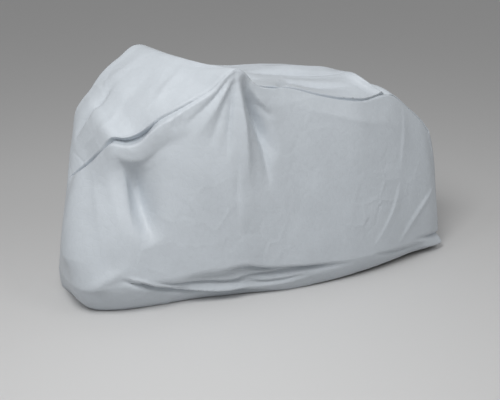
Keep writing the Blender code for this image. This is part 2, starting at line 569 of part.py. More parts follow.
def build_cover():
    runs = column_runs()
    places = gusset_places(runs, RISES)
    near = folded_panel(NEAR_STATIONS, NEAR_TUCK, NEAR_FOLDS, runs, RISES, 1)
    far = folded_panel(FAR_STATIONS, FAR_TUCK, FAR_FOLDS, runs, RISES, -1)
    gusset = folded_gusset(seam_edge(near), seam_edge(far), places, ACROSS)
    near, near_shift = rolled_panel(near, NEAR_SEAM, runs, RISES, 1)
    far, far_shift = rolled_panel(far, FAR_SEAM, runs, RISES, -1)
    gusset = rolled_gusset(gusset, near_shift, far_shift, ACROSS)

    gusset_normals = surface_normals(gusset, -1)
    near_lean = seam_lean(seam_edge(surface_normals(near, 1)), gusset_normals[:, 0])
    far_lean = seam_lean(seam_edge(surface_normals(far, -1)), gusset_normals[:, -1])

    cloth = material("silver_cloth", CLOTH_COLOUR, 0.5)
    near_outer, near_inner = panel_layers(near, 1, near_lean)
    make_sheet("near_side_panel", near_outer, near_inner, 1, cloth)
    far_outer, far_inner = panel_layers(far, -1, far_lean)
    make_sheet("far_side_panel", far_outer, far_inner, -1, cloth)
    gusset_outer, gusset_inner = gusset_layers(gusset, near_lean, far_lean)
    make_sheet("top_gusset", gusset_outer, gusset_inner, -1, cloth)

    tape = material("black_hook_tape", TAPE_COLOUR, 0.9)
    against, away = tape_layers(near_outer, near_inner, runs)
    make_sheet("hook_tape", against, away, 1, tape)


for leftover in list(bpy.data.objects):
    bpy.data.objects.remove(leftover)
build_cover()
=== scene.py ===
"""Looks of the bicycle cover: fine cloth with its folds, creases, hems, stitching and tape.

The functions that shape the cloth and most of the tables repeat those of the solids, on a finer
grid. Some rows of NEAR_FOLDS, GUSSET_FOLDS and NEAR_SEAM differ from those of the solids, and so
do the thickness of the cloth, the seam's lip and roll, and the gap behind the tape. The smaller
creases are in this file alone. All is in metres from the ground at the cover's front end: X runs
to the rear, Y from the near side to the far side, and Z up. SADDLE_POINT is the part's origin.
"""

import math

import bpy
import numpy as np
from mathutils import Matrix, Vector, noise


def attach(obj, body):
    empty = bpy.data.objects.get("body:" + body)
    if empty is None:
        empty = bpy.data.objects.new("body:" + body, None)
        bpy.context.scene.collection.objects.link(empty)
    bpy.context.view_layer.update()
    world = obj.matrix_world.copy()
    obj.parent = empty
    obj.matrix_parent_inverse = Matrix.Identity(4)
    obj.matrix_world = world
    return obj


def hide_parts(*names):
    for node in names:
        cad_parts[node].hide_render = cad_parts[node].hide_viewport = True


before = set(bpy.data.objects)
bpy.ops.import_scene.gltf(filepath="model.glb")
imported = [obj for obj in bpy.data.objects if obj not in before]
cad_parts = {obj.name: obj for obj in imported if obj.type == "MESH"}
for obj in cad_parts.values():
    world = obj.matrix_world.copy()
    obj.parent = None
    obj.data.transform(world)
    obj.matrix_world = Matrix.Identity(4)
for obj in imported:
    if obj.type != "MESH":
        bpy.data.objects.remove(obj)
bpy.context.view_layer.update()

# ---------------------------------------------------------------------------
# Sizes that the solids also have
# ---------------------------------------------------------------------------

SADDLE_POINT = np.array((1.264, -0.021, 0.967))
HEM_RISE = 0.027          # height of the hem, as a share of the panel's height
SEAM_GAP = 0.0004         # between two pieces along their seam
PANEL_HEIGHT = 0.85       # turns a rise, 0 to 1, into metres on the cloth
GUSSET_WIDTH = 0.30       # turns a share across the gusset into metres on the cloth
MITRE_LIMIT = 0.72        # keeps the seam's mitre short where the cloth turns sharply
RUN_END = 2.20
TUCK_BEND = 1.5           # how sharply the cloth bends in above the hem

NEAR_STATIONS = (
    # run, hem x, y, z, seam x, y, z, belly
    (0.00, -0.020, 0.122, 0.000, 0.060, 0.095, 0.560, 0.015),
    (0.14, 0.030, -0.006, 0.000, 0.078, 0.080, 0.580, 0.045),
    (0.28, 0.092, -0.130, 0.000, 0.112, 0.055, 0.612, 0.085),
    (0.40, 0.195, -0.170, 0.000, 0.160, 0.020, 0.662, 0.080),
    (0.50, 0.285, -0.180, 0.000, 0.205, -0.040, 0.728, 0.070),
    (0.56, 0.340, -0.182, 0.000, 0.241, -0.080, 0.778, 0.055),
    (0.62, 0.395, -0.184, 0.000, 0.290, -0.110, 0.779, 0.040),
    (0.70, 0.465, -0.186, 0.000, 0.355, -0.135, 0.803, 0.030),
    (0.77, 0.530, -0.187, 0.000, 0.424, -0.170, 0.870, 0.022),
    (0.85, 0.600, -0.190, 0.000, 0.510, -0.210, 0.925, 0.012),
    (0.95, 0.690, -0.205, 0.000, 0.620, -0.250, 0.997, 0.006),
    (1.06, 0.785, -0.222, 0.000, 0.739, -0.282, 1.092, 0.000),
    (1.14, 0.860, -0.232, 0.000, 0.826, -0.250, 1.017, 0.004),
    (1.30, 1.010, -0.246, 0.000, 0.998, -0.200, 0.973, 0.010),
    (1.46, 1.160, -0.245, 0.005, 1.149, -0.180, 0.919, 0.014),
    (1.68, 1.380, -0.225, 0.015, 1.368, -0.160, 0.870, 0.018),
    (1.88, 1.580, -0.190, 0.026, 1.555, -0.098, 0.861, 0.028),
    (2.00, 1.705, -0.155, 0.030, 1.660, -0.080, 0.784, 0.030),
    (2.12, 1.825, -0.112, 0.022, 1.752, -0.070, 0.700, 0.026),
    (2.20, 1.895, -0.080, 0.018, 1.800, -0.062, 0.640, 0.012),
)
FAR_STATIONS = (
    # run, hem x, y, z, seam x, y, z, belly
    (0.00, 0.035, 0.255, 0.000, 0.095, 0.225, 0.600, 0.020),
    (0.20, 0.130, 0.245, 0.000, 0.112, 0.235, 0.735, 0.020),
    (0.40, 0.190, 0.238, 0.000, 0.135, 0.245, 0.835, 0.020),
    (0.62, 0.260, 0.230, 0.000, 0.206, 0.252, 0.922, 0.015),
    (0.74, 0.305, 0.227, 0.000, 0.262, 0.260, 0.988, 0.012),
    (0.85, 0.360, 0.224, 0.000, 0.335, 0.268, 1.042, 0.010),
    (1.06, 0.510, 0.220, 0.000, 0.478, 0.285, 1.090, 0.000),
    (1.14, 0.600, 0.220, 0.000, 0.560, 0.262, 1.045, 0.005),
    (1.30, 0.800, 0.225, 0.000, 0.760, 0.200, 0.998, 0.010),
    (1.46, 1.020, 0.225, 0.005, 1.000, 0.165, 0.994, 0.015),
    (1.68, 1.320, 0.215, 0.015, 1.330, 0.140, 0.944, 0.020),
    (1.88, 1.570, 0.190, 0.030, 1.545, 0.115, 0.835, 0.020),
    (2.00, 1.700, 0.175, 0.032, 1.660, 0.105, 0.765, 0.020),
    (2.20, 1.860, 0.120, 0.024, 1.795, 0.080, 0.640, 0.010),
)
GUSSET_CROWN = (
    # place, crown, skew
    (0.00, 0.010, 0.000),
    (0.60, 0.012, 0.000),
    (1.00, 0.012, 0.000),
    (1.12, 0.018, 0.000),
    (1.25, 0.022, 0.000),
    (1.38, 0.010, 0.000),
    (1.48, -0.014, 0.000),
    (1.55, -0.004, 0.000),
    (1.62, 0.006, 0.000),
    (1.68, 0.018, 0.020),
    (1.74, 0.026, 0.100),
    (1.790, 0.036, 0.130),
    (1.810, 0.030, 0.130),
    (1.840, 0.010, 0.110),
    (1.88, 0.000, 0.080),
    (1.94, 0.008, 0.000),
    (2.00, 0.022, 0.000),
    (3.00, 0.020, 0.000),
)

# How far a panel stands out over its hem, and the rise at which it stands out most.
NEAR_TUCK = (
    # run, depth, rise
    (0.00, 0.014, 0.20),
    (0.14, 0.034, 0.23),
    (0.30, 0.062, 0.25),
    (0.50, 0.074, 0.24),
    (0.75, 0.082, 0.22),
    (1.00, 0.082, 0.20),
    (1.50, 0.062, 0.15),
    (2.00, 0.032, 0.11),
    (2.20, 0.018, 0.11),
)
FAR_TUCK = (
    # run, depth, rise
    (0.00, 0.010, 0.14),
    (0.50, 0.034, 0.16),
    (1.20, 0.044, 0.15),
    (2.00, 0.026, 0.11),
    (2.20, 0.014, 0.11),
)

# ---------------------------------------------------------------------------
# Folds: three points on the cloth, the height, the width at the first and the last point, how far
# the fold leans (its left side is wider where lean is positive), and how round its crest is
# (2 is round, 1 is a sharp crease).
# ---------------------------------------------------------------------------

NEAR_FOLDS = (
    # run a, rise a, run b, rise b, run c, rise c, height, width a, width c, lean, crest
    # the trough below the nose, and the hollow in front of it
    (0.620, 0.915, 0.614, 0.720, 0.642, 0.440, -0.094, 0.074, 0.050, 0.10, 1.8),
    (0.540, 0.900, 0.545, 0.740, 0.580, 0.480, -0.014, 0.050, 0.050, 0.0, 2.0),
    (0.410, 0.860, 0.400, 0.700, 0.420, 0.400, 0.010, 0.050, 0.070, 0.0, 2.0),
    # the slack that hangs below the ledge
    (0.620, 0.880, 0.740, 0.880, 0.90, 0.860, -0.005, 0.020, 0.026, 0.0, 1.8),
    (0.835, 0.985, 0.822, 0.950, 0.84, 0.910, -0.006, 0.009, 0.010, 0.0, 1.6),
    (0.858, 0.985, 0.848, 0.950, 0.86, 0.920, -0.004, 0.008, 0.009, 0.0, 1.6),
    # folds that fan out from the near grip, from the nose round to the rear
    (1.050, 0.985, 0.955, 0.955, 0.84, 0.915, -0.009, 0.010, 0.020, 0.3, 1.7),
    (1.048, 0.975, 0.975, 0.915, 0.87, 0.830, 0.007, 0.010, 0.022, 0.0, 1.7),
    (1.050, 0.965, 0.990, 0.880, 0.93, 0.760, -0.010, 0.010, 0.026, 0.3, 1.7),
    (1.056, 1.000, 1.022, 0.840, 1.00, 0.660, -0.018, 0.012, 0.020, -0.3, 1.5),
    (1.060, 0.980, 1.076, 0.760, 1.085, 0.540, 0.020, 0.014, 0.028, 0.0, 1.5),
    (1.050, 0.700, 1.035, 0.500, 1.03, 0.280, -0.006, 0.014, 0.018, -0.4, 1.6),
    (1.084, 0.990, 1.142, 0.876, 1.218, 0.680, -0.048, 0.029, 0.030, -0.35, 1.5),
    (1.120, 0.960, 1.168, 0.770, 1.182, 0.540, -0.026, 0.016, 0.020, -0.3, 1.5),
    (1.110, 0.985, 1.154, 0.932, 1.204, 0.892, 0.010, 0.011, 0.012, 0.3, 1.6),
    (1.125, 0.950, 1.165, 0.905, 1.22, 0.860, -0.009, 0.010, 0.012, 0.0, 1.6),
    # the shoulder below the rear seam and its soft light line
    (1.12, 0.905, 1.50, 0.900, 2.06, 0.820, 0.020, 0.150, 0.130, -0.55, 2.0),
    (1.36, 0.915, 1.60, 0.902, 1.84, 0.825, 0.003, 0.014, 0.014, 0.0, 1.8),
    (1.775, 0.895, 1.82, 0.850, 1.87, 0.790, 0.004, 0.011, 0.011, 0.0, 1.8),
    # the bend round the rear wheel
    (1.958, 1.000, 1.922, 0.780, 1.885, 0.560, 0.004, 0.016, 0.020, 0.7, 1.8),
    (1.89, 0.560, 1.830, 0.340, 1.70, 0.150, 0.005, 0.018, 0.020, 0.6, 1.7),
    (2.18, 0.560, 2.01, 0.335, 1.86, 0.100, 0.008, 0.014, 0.016, 0.5, 1.6),
    # the lower corner at the front
    (0.520, 0.350, 0.390, 0.300, 0.290, 0.200, 0.014, 0.036, 0.030, 0.0, 1.8),
    (0.240, 0.460, 0.230, 0.300, 0.270, 0.100, -0.020, 0.060, 0.060, 0.0, 2.0),
    (0.360, 0.240, 0.350, 0.160, 0.360, 0.060, -0.010, 0.026, 0.030, 0.0, 1.8),
    # the hem: a lip, its shadow, and the folds above it
    (0.450, 0.320, 0.581, 0.215, 0.74, 0.130, 0.015, 0.011, 0.010, -0.2, 1.5),
    (0.540, 0.200, 0.860, 0.084, 1.36, 0.070, 0.027, 0.010, 0.011, -0.2, 1.5),
    (0.440, 0.300, 0.700, 0.112, 1.12, 0.010, -0.048, 0.011, 0.011, 0.2, 1.4),
    (0.840, 0.045, 1.000, 0.018, 1.26, 0.010, -0.020, 0.011, 0.010, 0.0, 1.4),
    (0.600, 0.215, 0.850, 0.120, 1.16, 0.082, -0.032, 0.009, 0.009, -0.2, 1.4),
    (0.740, 0.178, 0.960, 0.140, 1.24, 0.112, -0.020, 0.020, 0.016, 0.0, 1.7),
    (0.920, 0.168, 1.170, 0.148, 1.62, 0.110, -0.044, 0.012, 0.014, -0.15, 1.5),
    (0.980, 0.086, 1.180, 0.112, 1.54, 0.128, -0.040, 0.009, 0.011, -0.1, 1.4),
    (0.980, 0.092, 1.130, 0.070, 1.42, 0.100, -0.024, 0.009, 0.010, 0.0, 1.6),
    (1.72, 0.125, 1.88, 0.070, 2.08, 0.070, -0.014, 0.011, 0.012, 0.0, 1.6),
    (1.98, 0.125, 2.18, 0.105, 2.38, 0.115, -0.024, 0.014, 0.014, 0.0, 1.6),
    (2.02, 0.050, 2.20, 0.045, 2.38, 0.050, 0.030, 0.026, 0.026, 0.0, 1.6),
)
FAR_FOLDS = (
    # run a, rise a, run b, rise b, run c, rise c, height, width a, width c, lean, crest
    # folds that fan out from the far grip
    (1.072, 0.975, 1.13, 0.860, 1.17, 0.620, -0.028, 0.010, 0.028, 0.25, 1.3),
    (1.050, 0.970, 1.00, 0.860, 0.92, 0.700, -0.014, 0.010, 0.028, 0.0, 1.4),
    (1.052, 0.975, 0.97, 0.925, 0.85, 0.850, 0.008, 0.008, 0.024, 0.0, 1.4),
    (1.065, 0.960, 1.07, 0.760, 1.06, 0.480, 0.012, 0.012, 0.030, 0.0, 1.4),
    (1.060, 0.950, 1.03, 0.700, 1.00, 0.380, -0.010, 0.014, 0.028, 0.0, 1.4),
    (1.110, 0.980, 1.24, 0.890, 1.42, 0.740, -0.010, 0.012, 0.028, 0.0, 1.4),
    (1.100, 0.985, 1.18, 0.930, 1.28, 0.860, 0.012, 0.010, 0.016, 0.0, 1.3),
    # the hollow behind the front wheel and the slack beside it
    (0.60, 0.900, 0.66, 0.700, 0.74, 0.360, -0.028, 0.034, 0.050, 0.3, 1.7),
    (0.84, 0.860, 0.86, 0.600, 0.90, 0.300, 0.010, 0.040, 0.060, 0.0, 2.0),
    (0.40, 0.965, 0.58, 0.950, 0.86, 0.935, 0.009, 0.016, 0.020, 0.0, 1.5),
    (0.28, 0.900, 0.42, 0.740, 0.50, 0.520, -0.010, 0.020, 0.034, 0.0, 1.5),
    # the rear corner of the saddle and the bend round the rear wheel
    (1.36, 0.945, 1.60, 0.910, 1.88, 0.800, 0.008, 0.014, 0.018, 0.0, 1.4),
    (1.84, 0.990, 1.93, 0.760, 1.86, 0.460, 0.014, 0.022, 0.030, 0.4, 1.3),
    (1.88, 0.520, 1.80, 0.340, 1.68, 0.150, 0.010, 0.026, 0.026, 0.4, 1.3),
    (1.98, 0.860, 2.03, 0.600, 2.00, 0.320, -0.012, 0.036, 0.044, 0.0, 1.8),
    (1.44, 0.520, 1.50, 0.320, 1.64, 0.120, 0.008, 0.022, 0.030, 0.0, 1.4),
    # the hem
    (0.62, 0.150, 1.00, 0.060, 1.40, 0.040, 0.016, 0.016, 0.018, 0.0, 1.4),
    (0.84, 0.130, 1.15, 0.105, 1.50, 0.095, -0.014, 0.012, 0.014, 0.0, 1.3),
    (1.70, 0.120, 1.90, 0.070, 2.08, 0.060, -0.012, 0.012, 0.014, 0.0, 1.3),
    (0.24, 0.210, 0.38, 0.120, 0.60, 0.060, -0.012, 0.012, 0.016, 0.0, 1.3),
)
GUSSET_FOLDS = (
    # place a, share a, place b, share b, place c, share c, height, width a, width c, lean, crest
    # light streak and slack over the nose, and the fold along its far edge
    (1.46, 0.440, 1.405, 0.320, 1.345, 0.150, 0.007, 0.012, 0.016, 0.3, 1.6),
    (1.43, 0.600, 1.36, 0.480, 1.27, 0.300, -0.006, 0.024, 0.030, 0.0, 1.8),
    (1.45, 0.860, 1.385, 0.800, 1.32, 0.820, 0.008, 0.016, 0.018, 0.0, 1.7),
    (1.36, 0.740, 1.26, 0.640, 1.14, 0.500, -0.020, 0.018, 0.018, -0.5, 1.4),
    (1.29, 0.200, 1.21, 0.250, 1.13, 0.300, 0.004, 0.014, 0.016, 0.0, 1.7),
    (1.35, 0.520, 1.28, 0.330, 1.23, 0.160, 0.004, 0.012, 0.016, 0.0, 1.7),
    # the grip's pull across the gusset
    (1.478, 0.060, 1.465, 0.300, 1.45, 0.560, -0.008, 0.012, 0.024, 0.0, 1.7),
    (1.490, 0.080, 1.510, 0.300, 1.53, 0.560, -0.007, 0.012, 0.020, 0.0, 1.7),
    # the slack between the grip and the saddle, and its pucker
    (1.48, 0.420, 1.55, 0.420, 1.64, 0.420, -0.022, 0.070, 0.060, -0.3, 1.8),
    (1.660, 0.460, 1.614, 0.220, 1.55, -0.060, -0.020, 0.014, 0.014, 0.3, 1.5),
    # the saddle's plateau, its creases, its rear edge and the hollow behind that edge
    (1.600, 0.640, 1.700, 0.676, 1.778, 0.640, -0.034, 0.046, 0.036, -0.75, 1.3),
    (1.640, 0.610, 1.710, 0.648, 1.782, 0.610, 0.010, 0.012, 0.012, 0.0, 1.5),
    (1.640, 0.820, 1.725, 0.830, 1.790, 0.820, 0.010, 0.016, 0.016, 0.0, 1.8),
    (1.630, 0.400, 1.700, 0.355, 1.770, 0.350, -0.026, 0.034, 0.034, -0.55, 1.5),
    (1.766, 0.860, 1.785, 0.380, 1.844, -0.160, 0.028, 0.013, 0.011, 0.0, 1.5),
    (1.788, 0.860, 1.809, 0.380, 1.866, -0.160, -0.060, 0.018, 0.014, 0.0, 1.5),
)

# The rolled seam between the near panel and the gusset: how far the seam lies behind the cloth,
# how far down that hollow reaches, and how far out and how far down the ledge below it is.
NEAR_SEAM = (
    # run, recess, hollow, ledge, ledge drop
    (0.00, 0.003, 0.0045, 0.000, 0.020),
    (0.20, 0.008, 0.0045, 0.004, 0.020),
    (0.27, 0.013, 0.0050, 0.012, 0.022),
    (0.40, 0.014, 0.0055, 0.014, 0.022),
    (0.52, 0.010, 0.0045, 0.014, 0.022),
    (0.56, 0.026, 0.009, 0.020, 0.021),
    (0.60, 0.034, 0.012, 0.027, 0.025),
    (0.66, 0.036, 0.013, 0.036, 0.027),
    (0.71, 0.030, 0.011, 0.038, 0.027),
    (0.745, 0.014, 0.006, 0.034, 0.024),
    (0.80, 0.009, 0.0045, 0.023, 0.020),
    (0.88, 0.009, 0.0045, 0.008, 0.014),
    (0.95, 0.007, 0.0045, 0.006, 0.014),
    (1.02, 0.003, 0.0045, 0.000, 0.020),
    (1.09, 0.003, 0.0045, 0.000, 0.020),
    (1.13, 0.010, 0.0040, 0.001, 0.014),
    (1.88, 0.010, 0.0040, 0.001, 0.014),
    (2.20, 0.005, 0.0045, 0.001, 0.016),
)
FAR_SEAM = (
    # run, recess, hollow, ledge, ledge drop
    (0.00, 0.003, 0.004, 0.001, 0.020),
    (0.40, 0.005, 0.006, 0.003, 0.026),
    (0.80, 0.005, 0.006, 0.003, 0.026),
    (1.04, 0.002, 0.004, 0.000, 0.024),
    (1.18, 0.004, 0.004, 0.001, 0.020),
    (2.20, 0.003, 0.004, 0.001, 0.020),
)

# ---------------------------------------------------------------------------
# Grids
# ---------------------------------------------------------------------------

COLUMN_COUNT = 330        # cells along a panel
RISE_COUNT = 140          # cells up a panel
ACROSS_COUNT = 76         # cells across the gusset

# How close together the columns lie: closest round the near grip and at the saddle's rear rim.
COLUMN_STEPS = (
    # run, size of the step
    (0.00, 0.6),
    (0.10, 1.0),
    (0.50, 0.9),
    (1.00, 0.7),
    (1.08, 0.5),
    (1.20, 0.7),
    (1.40, 1.2),
    (1.64, 1.1),
    (1.72, 0.45),
    (1.86, 0.45),
    (1.94, 1.1),
    (2.20, 0.7),
)


def graded(count, first, last, middle, first_reach=0.06, last_reach=0.06):
    """Steps from 0 to 1 whose size goes from first, through middle, to last."""
    place = np.linspace(0, 1, count)
    start = np.exp(-place / first_reach)
    end = np.exp(-(1 - place) / last_reach)
    step = middle + (first - middle) * start + (last - middle) * end
    edges = np.concatenate([[0.0], np.cumsum(step)])
    return edges / edges[-1]


def column_runs():
    """Runs of the columns, as close together as COLUMN_STEPS says."""
    runs, steps = np.array(COLUMN_STEPS).T
    fine = np.linspace(0, RUN_END, 2001)
    density = np.cumsum(1 / np.interp(fine, runs, steps))
    density = (density - density[0]) / (density[-1] - density[0])
    return np.interp(np.linspace(0, 1, COLUMN_COUNT + 1), density, fine)


RUNS = column_runs()
RISES = graded(RISE_COUNT, 0.30, 0.20, 1.0, 0.25, 0.08)
ACROSS = graded(ACROSS_COUNT, 0.30, 0.30, 1.0)


def smooth_rows(rows, at):
    """Read a table between its rows, on a smooth curve through them (first column: position)."""
    rows = np.array(rows)
    knots = rows[:, 0]
    values = rows[:, 1:]
    spans = np.diff(knots)[:, None]
    slopes = np.diff(values, axis=0) / spans
    tangents = np.empty_like(values)
    tangents[0] = slopes[0]
    tangents[-1] = slopes[-1]
    weights = spans[:-1] + spans[1:]
    tangents[1:-1] = (slopes[:-1] * spans[1:] + slopes[1:] * spans[:-1]) / weights
    at = np.asarray(at, dtype=float)
    row = np.clip(np.searchsorted(knots, at, side="right") - 1, 0, len(knots) - 2)
    span = spans[row]
    t = (at - knots[row])[:, None] / span
    start = (1 + 2 * t) * (1 - t) ** 2 * values[row]
    end = t ** 2 * (3 - 2 * t) * values[row + 1]
    lean_out = t * (1 - t) ** 2 * span * tangents[row]
    lean_in = t ** 2 * (t - 1) * span * tangents[row + 1]
    return start + end + lean_out + lean_in


def unit(vectors):
    """Vectors of length 1 in the same directions."""
    lengths = np.linalg.norm(vectors, axis=-1, keepdims=True)
    return vectors / np.maximum(lengths, 1e-9)


def side_panel(stations, tuck, runs, rises, side):
    """Points of a side panel without its folds, [rise][run]; side is 1 near and -1 far."""
    read = smooth_rows(stations, runs)
    hem = read[:, 0:3]
    seam = read[:, 3:6]
    belly = read[:, 6]
    along = np.gradient(hem, runs, axis=0)
    outward = unit(np.stack([along[:, 1], -along[:, 0], np.zeros_like(runs)], axis=-1)) * side
    rise = np.asarray(rises)[:, None]
    depth, start = smooth_rows(tuck, runs).T
    below = np.clip(rise / start, 0, 1)
    hang = np.where(rise > start, (1 - rise) / (1 - start), 1 - (1 - below) ** TUCK_BEND)
    swell = 4 * rise * (1 - rise) * belly + hang * depth
    rise = rise[..., None]
    return hem * (1 - rise) + seam * rise + swell[..., None] * outward


def surface_normals(grid, side):
    """Unit normals of a grid of points; side is 1 where columns cross rows points outward."""
    down_rows = np.gradient(grid, axis=0)
    along_columns = np.gradient(grid, axis=1)
    return unit(np.cross(along_columns, down_rows)) * side


FOLD_STEP = 0.004         # between the points of a fold's line
FOLD_REACH = 4            # how many widths from its line a fold is felt
FOLD_FADE = 1.2           # how quickly a fold sinks toward its ends

def fold_relief(folds, first, second, first_scale, second_scale):
    """How far the folds lift each point of the cloth."""
    x = first * first_scale
    y = second * second_scale
    relief = np.zeros(x.shape)
    for a1, a2, b1, b2, c1, c2, height, first_width, last_width, lean, crest in folds:
        length = math.hypot((c1 - a1) * first_scale, (c2 - a2) * second_scale)
        t = np.linspace(0.0, 1.0, int(length / FOLD_STEP) + 9)
        start = (1 - t) * (1 - 2 * t)
        middle = 4 * t * (1 - t)
        end = t * (2 * t - 1)
        fade = np.sin(np.pi * t).clip(0, 1) ** FOLD_FADE
        line_x = (start * a1 + middle * b1 + end * c1) * first_scale
        line_y = (start * a2 + middle * b2 + end * c2) * second_scale
        widths = first_width + (last_width - first_width) * t
        span_x = np.gradient(line_x)
        span_y = np.gradient(line_y)
        reach = max(first_width, last_width) * FOLD_REACH
        near = ((x > line_x.min() - reach) & (x < line_x.max() + reach)
                & (y > line_y.min() - reach) & (y < line_y.max() + reach))
        across_x = x[near][:, None] - line_x
        across_y = y[near][:, None] - line_y
        nearest = np.argmin(np.hypot(across_x, across_y), axis=1)
        rows = np.arange(len(nearest))
        across_x = across_x[rows, nearest]
        across_y = across_y[rows, nearest]
        turn = span_x[nearest] * across_y - span_y[nearest] * across_x
        width = widths[nearest] * np.where(turn > 0, 1 + lean, 1 - lean)
        away = np.hypot(across_x, across_y) / width
        relief[near] += height * fade[nearest] * np.exp(-away ** crest)
    return relief


HOLLOW_EDGE = 5           # how sharply the seam's hollow ends
LEDGE_UPPER = 0.55        # upper slope of the ledge, as a share of the way up to the hollow
LEDGE_LEAST = 0.004       # the shortest that this slope is
LEDGE_LOWER = 0.075       # lower slope of the ledge


def seam_roll(seam, runs, below):
    """How far the rolled seam lifts a panel, at each distance below it."""
    recess, hollow, ledge, drop = smooth_rows(seam, runs).T
    inside = -recess / (1 + (below / hollow) ** HOLLOW_EDGE)
    upper = np.maximum((drop - hollow) * LEDGE_UPPER, LEDGE_LEAST)
    spread = np.where(below < drop, upper, LEDGE_LOWER)
    return inside + ledge * np.exp(-((below - drop) / spread) ** 2)


def seam_edge(grid):
    """The edge of a side panel that is sewn to the gusset: up its front, along its top, down."""
    return np.concatenate([grid[:, 0], grid[-1, 1:], grid[-2::-1, -1]])


def gusset_places(runs, rises):
    """The place of each row of the gusset, matched to the points of seam_edge."""
    return np.concatenate([rises, 1 + runs[1:] / RUN_END, 3 - rises[-2::-1]])


PLACES = gusset_places(RUNS, RISES)
HEIGHTS = RISES * PANEL_HEIGHT

# ---------------------------------------------------------------------------
# Small creases
# ---------------------------------------------------------------------------

FOLD_CLEAR = 0.006        # how near a seam the folds begin to sink to nothing
CREASE_CLEAR = 0.003      # how near a seam the small creases begin to sink to nothing
SEAM_PITCH = 0.024        # between two puckers along a seam
SEAM_PUCKER = 0.0006      # their height on the gusset
PANEL_PUCKER = 0.0008     # and on a panel
SEAM_REACH = 0.030        # how far from the seam they reach
HEM_PITCH = 0.031         # the same for the puckers along the hem
HEM_PUCKER = 0.0006
HEM_REACH = 0.040
PUCKER_END = 1.05         # the run where the front seam's stronger puckers have faded
PUCKER_FADE = 0.3         # the length over which they fade
PUCKER_REST = 0.3         # what is left of them behind it


def noise_field(grid, scale, seed, stretch=(1.0, 1.0, 1.0)):
    """Smooth noise of about -1 to 1 at each point, with waves of about 1 / scale metres."""
    offset = Vector((seed * 7.31, seed * 3.17, seed * 5.77))
    points = grid.reshape(-1, 3) * np.array(stretch) * scale
    values = [noise.noise(Vector(point) + offset) for point in points]
    return np.array(values).reshape(grid.shape[:2])


def crumple_field(grid, scale, seed):
    """Straight ridges between the cells of crumpled cloth, 0 to 1 on the ridge."""
    offset = Vector((seed * 2.71, seed * 9.13, seed * 4.57))
    points = grid.reshape(-1, 3) * scale
    values = np.empty(len(points))
    for index, point in enumerate(points):
        distances = noise.voronoi(Vector(point) + offset)[0]
        values[index] = distances[1] - distances[0]
    return np.exp(-(values.reshape(grid.shape[:2]) / 0.10) ** 1.4)


def crumples(grid, seed, strength):
    """Relief of the small creases that the cloth keeps from being packed away."""
    patches = np.clip(noise_field(grid, 3.2, seed + 1) * 1.6 + 0.35, 0, 1)
    waves = noise_field(grid, 5.5, seed + 2, (1.0, 1.0, 0.55)) * 0.0024
    ripples = noise_field(grid, 13.0, seed + 3, (1.0, 1.0, 0.7)) * 0.0010
    signs = np.sign(noise_field(grid, 4.0, seed + 4))
    ridges = crumple_field(grid, 8.0, seed) * signs * patches * 0.0018
    return (waves + ripples + ridges) * strength


def gathers(along, away, seed, pitch, depth, reach):
    """Puckers across a seam: along is the way along it, away the distance from it."""
    phase = 2 * np.pi * along / pitch
    uneven = np.sin(phase + 1.7 * np.sin(phase * 0.31 + seed)) * (0.6 + 0.4 * np.sin(phase * 0.17))
    return depth * uneven * np.exp(-(away / reach) ** 1.3)


def folded_panel(stations, tuck, folds, side):
    """Outer face of a side panel with its folds."""
    flat = side_panel(stations, tuck, RUNS, RISES, side)
    run_grid, rise_grid = np.meshgrid(RUNS, RISES)
    relief = fold_relief(folds, run_grid, rise_grid, 1.0, PANEL_HEIGHT)
    at_edge = np.clip((1 - rise_grid) * PANEL_HEIGHT / FOLD_CLEAR, 0, 1)
    return flat + (relief * at_edge)[..., None] * surface_normals(flat, side)


def detailed_panel(folded, seam, side, seed):
    """The folded panel with its rolled seam and small creases, and how far its edge moved."""
    run_grid, rise_grid = np.meshgrid(RUNS, RISES)
    from_seam = (1 - rise_grid) * PANEL_HEIGHT
    from_hem = rise_grid * PANEL_HEIGHT
    normals = surface_normals(folded, side)
    rolled = folded + seam_roll(seam, RUNS, from_seam)[..., None] * normals
    small = crumples(folded, seed, 1.0)
    front = np.clip((PUCKER_END - run_grid) / PUCKER_FADE, PUCKER_REST, 1.0)
    small += gathers(run_grid, from_seam, seed, SEAM_PITCH, PANEL_PUCKER, SEAM_REACH) * front
    small += gathers(run_grid, from_hem, seed + 2, HEM_PITCH, HEM_PUCKER, HEM_REACH)
    small *= np.clip(from_seam / CREASE_CLEAR, 0, 1)
    detailed = rolled + small[..., None] * surface_normals(rolled, side)
    return detailed, seam_edge(detailed) - seam_edge(folded)


def folded_gusset(near_edge, far_edge):
    """Outer face of the gusset between its two seams with its folds, [place][share across]."""
    skew = smooth_rows(GUSSET_CROWN, PLACES)[:, 1]
    askew = PLACES[:, None] + skew[:, None] * (ACROSS - 0.5)
    crown = smooth_rows(GUSSET_CROWN, askew.ravel())[:, 0].reshape(askew.shape)
    along = np.gradient((near_edge + far_edge) / 2, axis=0)
    outward = unit(np.cross(along, far_edge - near_edge))
    share = ACROSS[None, :, None]
    swell = 4 * share * (1 - share)
    flat = near_edge[:, None] * (1 - share) + far_edge[:, None] * share
    flat = flat + swell * crown[..., None] * outward[:, None]
    share_grid, place_grid = np.meshgrid(ACROSS, PLACES)
    relief = fold_relief(GUSSET_FOLDS, place_grid, share_grid, RUN_END, GUSSET_WIDTH)
    at_edge = np.clip(np.minimum(share_grid, 1 - share_grid) * GUSSET_WIDTH / FOLD_CLEAR, 0, 1)
    return flat + (relief * at_edge)[..., None] * surface_normals(flat, -1)


LIP_PLACE = 0.010        # the rolled seam's lip, from the seam
LIP_SHARE = 0.25         # its height, as a share of how far the seam lies back
LIP_CLEAR = 0.004        # how near the seam the lip begins to sink to nothing
ROLL_REACH = 0.0055      # how far from the seam the gusset rolls in


